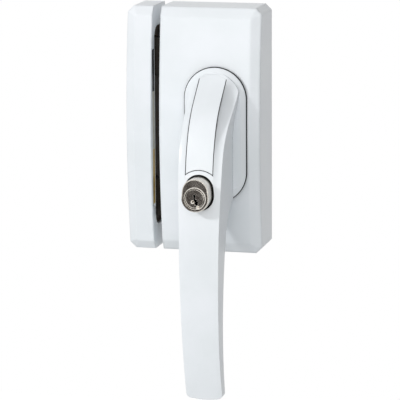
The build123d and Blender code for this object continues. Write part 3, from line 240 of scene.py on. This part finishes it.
def relief(tree, shader, height, depth, edge):
    """A pattern's height as bump, on edges that are rounded by a real radius."""
    round_edge = add(tree, "Bevel", {"samples": 6}, {"Radius": edge})
    shape = {"Height": height, "Distance": depth, "Normal": round_edge.outputs[0]}
    bump = add(tree, "Bump", None, {"Strength": 1.0, **shape})
    tree.links.new(bump.outputs[0], shader.inputs["Normal"])


def finish(material, *nodes):
    """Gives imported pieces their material."""
    for node in nodes:
        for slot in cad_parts[node].material_slots:
            slot.material = material


# Bright zinc: cool grey, with faint cloudy patches and the sheet's fine rolling lines.
ROLLING_LINES = 0.5 * MM
ROLLED = (1.0, 1.0, 0.04)  # the noise is drawn out 25 times along the lines
zinc, tree, shader, place = begin("bright_zinc_plated_steel", {"Metallic": 1.0})
vary(tree, shader, place, 11 * MM, "#9ca2a8", "#b9bbb8", (0.26, 0.42))
along = add(tree, "Mapping", None, {"Vector": place, "Scale": ROLLED})
fine = {"Vector": along.outputs[0], "Scale": 1 / ROLLING_LINES, "Detail": 3.0}
lines = add(tree, "TexNoise", None, fine)
relief(tree, shader, lines.outputs[0], 0.006 * MM, 0.15 * MM)
finish(zinc, "mounting_plate", "gear_plate", "lock_plate", "plate_pillars", "lock_keepers")


# Bushes: turned brass, one pressed into each plate, that the hub's journal and the handle's
# boss turn in.
TOOL_RINGS = 2.4 * MM
turned_brass, tree, shader, place = begin("turned_brass", {"Metallic": 1.0})
vary(tree, shader, place, 3 * MM, "#b98f45", "#d2ad62", (0.2, 0.34))
round_axis = {"wave_type": "RINGS", "rings_direction": "Y"}
ring_size = {"Vector": place, "Scale": 1 / TOOL_RINGS, "Distortion": 1.5}
rings = add(tree, "TexWave", round_axis, ring_size)
relief(tree, shader, rings.outputs[1], 0.004 * MM, 0.1 * MM)
finish(turned_brass, "rear_bush", "handle_bush")


# Gear: the hub with its pinion, the rack and the flat carriage, with the rivets, rail screws and
# detent posts round them, of free-cutting steel, milled, then zinc plated and oiled. They are
# warmer and darker than the sheet.
MILLING_MARKS = 0.35 * MM
MILLED = (0.06, 1.0, 1.0)
oiled_steel, tree, shader, place = begin("oiled_milled_steel", {"Metallic": 1.0})
vary(tree, shader, place, 5 * MM, "#7f8184", "#a09d96", (0.22, 0.38))
across = add(tree, "Mapping", None, {"Vector": place, "Scale": MILLED})
fine = {"Vector": across.outputs[0], "Scale": 1 / MILLING_MARKS, "Detail": 2.0}
marks = add(tree, "TexNoise", None, fine)
relief(tree, shader, marks.outputs[0], 0.006 * MM, 0.15 * MM)
finish(oiled_steel, "hub_pinion", "rack", "bolt_carriage")
finish(oiled_steel, "rack_rivets", "bolt_rivets", "rail_screws", "detent_posts")


# Springs: the detent's leaf, the snap ring, the cam's clip and the cylinder's coils, all of
# hardened and tempered steel, blued by the heat.
DRAWN_GRAIN = 0.4 * MM
blued_steel, tree, shader, place = begin("blued_spring_steel", {"Metallic": 1.0})
vary(tree, shader, place, 4 * MM, "#5c6470", "#7d7f86", (0.24, 0.36))
drawn = add(tree, "TexNoise", None, {"Vector": place, "Scale": 1 / DRAWN_GRAIN, "Detail": 2.0})
relief(tree, shader, drawn.outputs[0], 0.004 * MM, 0.1 * MM)
finish(blued_steel, "detent_spring", "retaining_ring", "cam_clip", "pin_springs")


# Bolts: zinc die-castings, coloured as painted shade: a brown black with greyer clouds, for
# they lie in the shadow of the gap, over the casting's fine grain.
CAST_GRAIN = 0.8 * MM
bolt_gloss = {"Metallic": 0.5, "Specular IOR Level": 0.25}
zinc_in_painted_shade, tree, shader, place = begin("zinc_die_casting_painted_shade", bolt_gloss)
# Painted shade: these near black tones stand for the shadow the bolts lie in.
vary(tree, shader, place, 6 * MM, "#1f1b17", "#332e28", (0.45, 0.62))
grain = add(tree, "TexNoise", None, {"Vector": place, "Scale": 1 / CAST_GRAIN, "Detail": 5.0})
relief(tree, shader, grain.outputs[0], 0.03 * MM, 0.5 * MM)
finish(zinc_in_painted_shade, "upper_bolt", "lower_bolt")


# Rails, glide ring and guide sleeve: black acetal, moulded, with a satin skin that sliding
# parts have polished in places.
SKIN_GRAIN = 0.3 * MM
skin_gloss = {"IOR": 1.48, "Specular IOR Level": 0.3}
black_acetal, tree, shader, place = begin("black_acetal", skin_gloss)
vary(tree, shader, place, 4 * MM, "#0e0f10", "#191a1b", (0.35, 0.55))
skin = add(tree, "TexNoise", None, {"Vector": place, "Scale": 1 / SKIN_GRAIN, "Detail": 2.0})
relief(tree, shader, skin.outputs[0], 0.008 * MM, 0.15 * MM)
finish(black_acetal, "bolt_rails", "glide_ring", "cylinder_sleeve")


# Base seal: a die-cut ring of black foam rubber, stuck behind the handle's base, that keeps dust
# out of the gap. Its skin is matt and finely pitted.
FOAM_PITS = 0.25 * MM
foam_rubber, tree, shader, place = begin("black_foam_rubber", {"IOR": 1.45})
vary(tree, shader, place, 3 * MM, "#1c1e20", "#2a2c2e", (0.7, 0.85))
pits = add(tree, "TexNoise", None, {"Vector": place, "Scale": 1 / FOAM_PITS, "Detail": 2.0})
relief(tree, shader, pits.outputs[0], 0.02 * MM, 0.1 * MM)
finish(foam_rubber, "base_seal")


# Case cover, strike housing, handle and cover strip: die-cast zinc alloy with a white powder
# coat, baked on. It has a satin gloss with slight orange peel. The case's edges were ground
# rounder before the coating than those of the strike and the handle.
COAT_PEEL = 2.2 * MM
SEAM_SHADE_REACH = 1.2 * MM  # painted shade: grey where the coat is this near another wall
FULL_SHADE_BELOW = 0.25  # the share of open directions, in full painted shade below this
UNSHADED_ABOVE = 0.6
for name, edge, nodes in (
    ("white_powder_coat", 2.4 * MM, ("case_cover",)),
    ("white_powder_coat_strike", 1.2 * MM, ("strike_housing",)),
    ("white_powder_coat_handle", 0.45 * MM, ("handle_casting", "cover_strip")),
):
    white_coat, tree, shader, place = begin(name, {"IOR": 1.5, "Specular IOR Level": 0.5})
    vary(tree, shader, place, 26 * MM, "#ebf0f3", "#f0f4f8", (0.3, 0.4))
    peel = add(tree, "TexNoise", None, {"Vector": place, "Scale": 1 / COAT_PEEL, "Detail": 1.0})
    relief(tree, shader, peel.outputs[0], 0.02 * MM, edge)
    # Painted shade: the coat's colour is mixed toward grey where little of the room is open to it,
    # in seams, creases and gaps between parts.
    seam_shade = add(tree, "AmbientOcclusion", {"samples": 8}, {"Distance": SEAM_SHADE_REACH})
    openness = {"Value": seam_shade.outputs["AO"], "From Min": FULL_SHADE_BELOW, "From Max": UNSHADED_ABOVE}
    unshaded_share = add(tree, "MapRange", None, openness)
    coat_tone = shader.inputs["Base Color"].links[0].from_socket
    shade_or_coat = {0: unshaded_share.outputs[0], 6: colour("#74777a"), 7: coat_tone}
    painted_seam_shade = add(tree, "Mix", {"data_type": "RGBA"}, shade_or_coat)
    tree.links.new(painted_seam_shade.outputs[2], shader.inputs["Base Color"])
    finish(white_coat, *nodes)


# Long screws: two M5 screws through the case into the window's gear. Their heads stay as they
# are packed, and the plain ends get the rolled thread of the real ones.
THREAD_PITCH = 0.8 * MM
THREAD_OUTER = 2.5 * MM
THREAD_ROOT = 2.05 * MM
THREAD_CREST = 0.2 * MM
THREAD_FOOT = 0.44 * THREAD_PITCH  # from the middle of the rib to the end of its foot
RIB_SUNK = 0.1 * MM  # the foot lies this far inside the core
THREAD_START = -0.25 * MM
TURN_STEPS = 20
CORE_SIDES = 28


def threaded_end(bm, z, start, end):
    """A core with a helical rib round it, along the depth, and a blunt tip."""
    core = bmesh.ops.create_cone(
        bm, cap_ends=True, segments=CORE_SIDES, radius1=THREAD_ROOT, radius2=THREAD_ROOT,
        depth=end - start,
    )["verts"]
    inwards = Matrix.Rotation(math.radians(-90), 3, "X")
    bmesh.ops.rotate(bm, verts=core, cent=(0, 0, 0), matrix=inwards)
    bmesh.ops.translate(bm, verts=core, vec=(0, (start + end) / 2, z))
    foot = (THREAD_ROOT - RIB_SUNK, THREAD_FOOT)
    crest = (THREAD_OUTER, THREAD_CREST / 2)
    rib = []
    for (out, aside), side in ((foot, -1), (crest, -1), (crest, 1), (foot, 1)):
        rib.append(bm.verts.new((out, start + THREAD_FOOT + side * aside, z)))
    loop = [bm.edges.new((rib[i], rib[(i + 1) % 4])) for i in range(4)]
    turns = (end - start - 2 * THREAD_FOOT) / THREAD_PITCH
    bmesh.ops.spin(
        bm, geom=rib + loop, cent=(0, 0, z), axis=(0, 1, 0), angle=2 * math.pi * turns,
        dvec=(0, THREAD_PITCH / TURN_STEPS, 0), steps=int(TURN_STEPS * turns),
    )
    ends = [e for e in bm.edges if e.is_boundary]
    bmesh.ops.holes_fill(bm, edges=ends, sides=4)


SCREW_HEIGHT = 21.5 * MM
SAME_PLACE = 0.001 * MM  # corners this near are one corner
screw_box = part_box("long_screws")
bm = bmesh.new()
bm.from_mesh(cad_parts["long_screws"].data)
bmesh.ops.remove_doubles(bm, verts=bm.verts, dist=SAME_PLACE)
packed = bm.verts[:] + bm.edges[:] + bm.faces[:]
cut = bmesh.ops.bisect_plane(
    bm, geom=packed, plane_co=(0, THREAD_START, 0), plane_no=(0, 1, 0), clear_outer=True
)
rims = [e for e in cut["geom_cut"] if isinstance(e, bmesh.types.BMEdge)]
bmesh.ops.holes_fill(bm, edges=rims)
for height in (SCREW_HEIGHT, -SCREW_HEIGHT):
    threaded_end(bm, height, THREAD_START, screw_box[1].y)
bmesh.ops.recalc_face_normals(bm, faces=bm.faces)
rolled_screws = placed("rolled_screws", bm, zinc)
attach(rolled_screws, "root")
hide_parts("long_screws")


# Strike: its rail and screws are zinc plated like the plates. Behind the opening stands a
# bronzed steel liner, and in the groove beside it lie three strips: yellow passivated at the
# bottom, greenish grey in the middle, and black acetal at the top.
finish(zinc, "strike_rail", "strike_screws")
finish(black_acetal, "strike_buffer")

# Bronzed steel: a dark brown oxide with reddish clouds, dull from the bath.
OXIDE_SPECKS = 0.6 * MM
oxide_gloss = {"Metallic": 0.3, "Specular IOR Level": 0.15}
bronzed, tree, shader, place = begin("bronzed_steel", oxide_gloss)
vary(tree, shader, place, 5 * MM, "#2b1c0d", "#42301a", (0.55, 0.72))
speck = add(tree, "TexNoise", None, {"Vector": place, "Scale": 1 / OXIDE_SPECKS, "Detail": 5.0})
relief(tree, shader, speck.outputs[0], 0.01 * MM, 0.15 * MM)
finish(bronzed, "strike_liner")

# Yellow passivated zinc: straw yellow that runs to olive and pink where the film is thicker.
YELLOW_CLOUDS = 9 * MM
yellow, tree, shader, place = begin("yellow_passivated_zinc", {"Metallic": 0.4})
vary(tree, shader, place, 4 * MM, "#dcb252", "#f0d07a", (0.28, 0.42))
film = add(tree, "TexNoise", None, {"Vector": place, "Scale": 1 / YELLOW_CLOUDS, "Detail": 2.0})
relief(tree, shader, film.outputs[0], 0.01 * MM, 0.12 * MM)
finish(yellow, "strike_bar")

# Olive chromated zinc: a thin, dull film, grey with a green cast.
OLIVE_SPECKS = 1.2 * MM
olive, tree, shader, place = begin("olive_chromated_zinc", {"Metallic": 0.3})
vary(tree, shader, place, 5 * MM, "#d2d0c0", "#e4e2d6", (0.4, 0.55))
film = add(tree, "TexNoise", None, {"Vector": place, "Scale": 1 / OLIVE_SPECKS, "Detail": 3.0})
relief(tree, shader, film.outputs[0], 0.01 * MM, 0.12 * MM)
finish(olive, "strike_filler")


# Spindle and hub screw: a 7 mm square bar of bright drawn steel, zinc plated, with the lines of
# the drawing die along it, and the screw that pulls the handle onto it. The cylinder's lock pin,
# stop pin and cam are of the same steel.
DIE_LINES = 0.4 * MM
DRAWN = (1.0, 0.03, 1.0)
drawn_bar, tree, shader, place = begin("bright_drawn_steel", {"Metallic": 1.0})
vary(tree, shader, place, 8 * MM, "#9b9fa3", "#b4b5b3", (0.2, 0.34))
along = add(tree, "Mapping", None, {"Vector": place, "Scale": DRAWN})
fine = {"Vector": along.outputs[0], "Scale": 1 / DIE_LINES, "Detail": 3.0}
lines = add(tree, "TexNoise", None, fine)
relief(tree, shader, lines.outputs[0], 0.008 * MM, 0.3 * MM)
finish(drawn_bar, "spindle", "hub_screw", "lock_pin", "stop_pin", "plug_cam")


# Push cylinder: a turned and milled brass body, nickel plated and left satin. Its flanks carry
# fine lines along the depth from the broach. Its pins are bare brass, like the bushes.
BROACH_LINES = 0.5 * MM
BROACHED = (1.0, 0.05, 1.0)
nickel, tree, shader, place = begin("satin_nickel_plate", {"Metallic": 1.0})
vary(tree, shader, place, 3 * MM, "#cdc8c0", "#dedad3", (0.15, 0.23))
along = add(tree, "Mapping", None, {"Vector": place, "Scale": BROACHED})
fine = {"Vector": along.outputs[0], "Scale": 1 / BROACH_LINES, "Detail": 3.0}
lines = add(tree, "TexNoise", None, fine)
relief(tree, shader, lines.outputs[0], 0.01 * MM, 0.2 * MM)
finish(nickel, "cylinder_barrel", "chamber_cover")
finish(turned_brass, "driver_pins", "key_pins")

# The plug is turned from the same brass and plated with it, and keeps the lathe's fine rings.
low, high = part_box("plug")
middle = (low + high) / 2
LATHE_RINGS = 0.9 * MM  # real ones are about 0.1 mm apart, and too fine to show
turned_nickel, tree, shader, place = begin("turned_nickel_plate", {"Metallic": 1.0})
vary(tree, shader, place, 2 * MM, "#cfcac3", "#dedad2", (0.15, 0.23))
to_axis = {"Vector": place, "Location": (-middle.x, 0.0, -middle.z)}
centred = add(tree, "Mapping", None, to_axis)
ring_size = {"Vector": centred.outputs[0], "Scale": 1 / (math.pi * LATHE_RINGS), "Distortion": 0.4}
rings = add(tree, "TexWave", round_axis, ring_size)
relief(tree, shader, rings.outputs[1], 0.004 * MM, 0.15 * MM)

# The keyway is broached after the plating, so its walls are bare brass, here darkened to a near
# black brown as painted shade deep in the slot.
KEYWAY_REACH = 4.4 * MM  # from the plug's axis
KEYWAY_START = 0.5 * MM  # behind the plug's face
flat = add(tree, "Mapping", None, {"Vector": centred.outputs[0], "Scale": (1.0, 0.0, 1.0)})
away = add(tree, "VectorMath", {"operation": "LENGTH"}, {0: flat.outputs[0]})
reach = {0: away.outputs["Value"], 1: KEYWAY_REACH}
inside = add(tree, "Math", {"operation": "LESS_THAN"}, reach)
depth = {0: add(tree, "SeparateXYZ", None, {0: place}).outputs[1], 1: low.y + KEYWAY_START}
deep = add(tree, "Math", {"operation": "GREATER_THAN"}, depth)
walls = add(tree, "Math", {"operation": "MULTIPLY"}, {0: inside.outputs[0], 1: deep.outputs[0]})
plated = shader.inputs["Base Color"].links[0].from_socket
# Painted shade: deeper than the face and near the axis, the colour turns near black brown.
plated_or_shaded = {0: walls.outputs[0], 6: plated, 7: colour("#2b1f10")}
shaded_brass = add(tree, "Mix", {"data_type": "RGBA"}, plated_or_shaded)
tree.links.new(shaded_brass.outputs[2], shader.inputs["Base Color"])
finish(turned_nickel, "plug")


# Return spring: a coil of tempered wire round the lock pin, wound on a mandrel and blued. It
# throws the cylinder out of the neck. The coil here is one fixed shape, and doesn't shorten as the
# cylinder is pushed in.
COIL_WIRE = 0.8 * MM
COIL_TURNS = 2.75
COIL_STEPS = 24
WIRE_SIDES = 12
low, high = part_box("return_spring")
middle = (low + high) / 2
out = (high.x - low.x) / 2 - COIL_WIRE / 2
bm = bmesh.new()
wire = bmesh.ops.create_circle(bm, segments=WIRE_SIDES, radius=COIL_WIRE / 2)["verts"]
start = Vector((middle.x + out, low.y + COIL_WIRE / 2, middle.z))
bmesh.ops.translate(bm, verts=wire, vec=start)
rise = (high.y - low.y - COIL_WIRE) / (COIL_TURNS * COIL_STEPS)
bmesh.ops.spin(
    bm, geom=wire + bm.edges[:], cent=middle, axis=(0, 1, 0), dvec=(0, rise, 0),
    angle=2 * math.pi * COIL_TURNS, steps=int(COIL_TURNS * COIL_STEPS),
)
bmesh.ops.holes_fill(bm, edges=[e for e in bm.edges if e.is_boundary])
bmesh.ops.recalc_face_normals(bm, faces=bm.faces)
for face in bm.faces:
    face.smooth = len(face.verts) == 4
return_coil = placed("return_coil", bm, blued_steel)
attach(return_coil, "handle")
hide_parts("return_spring")
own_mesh(return_coil)
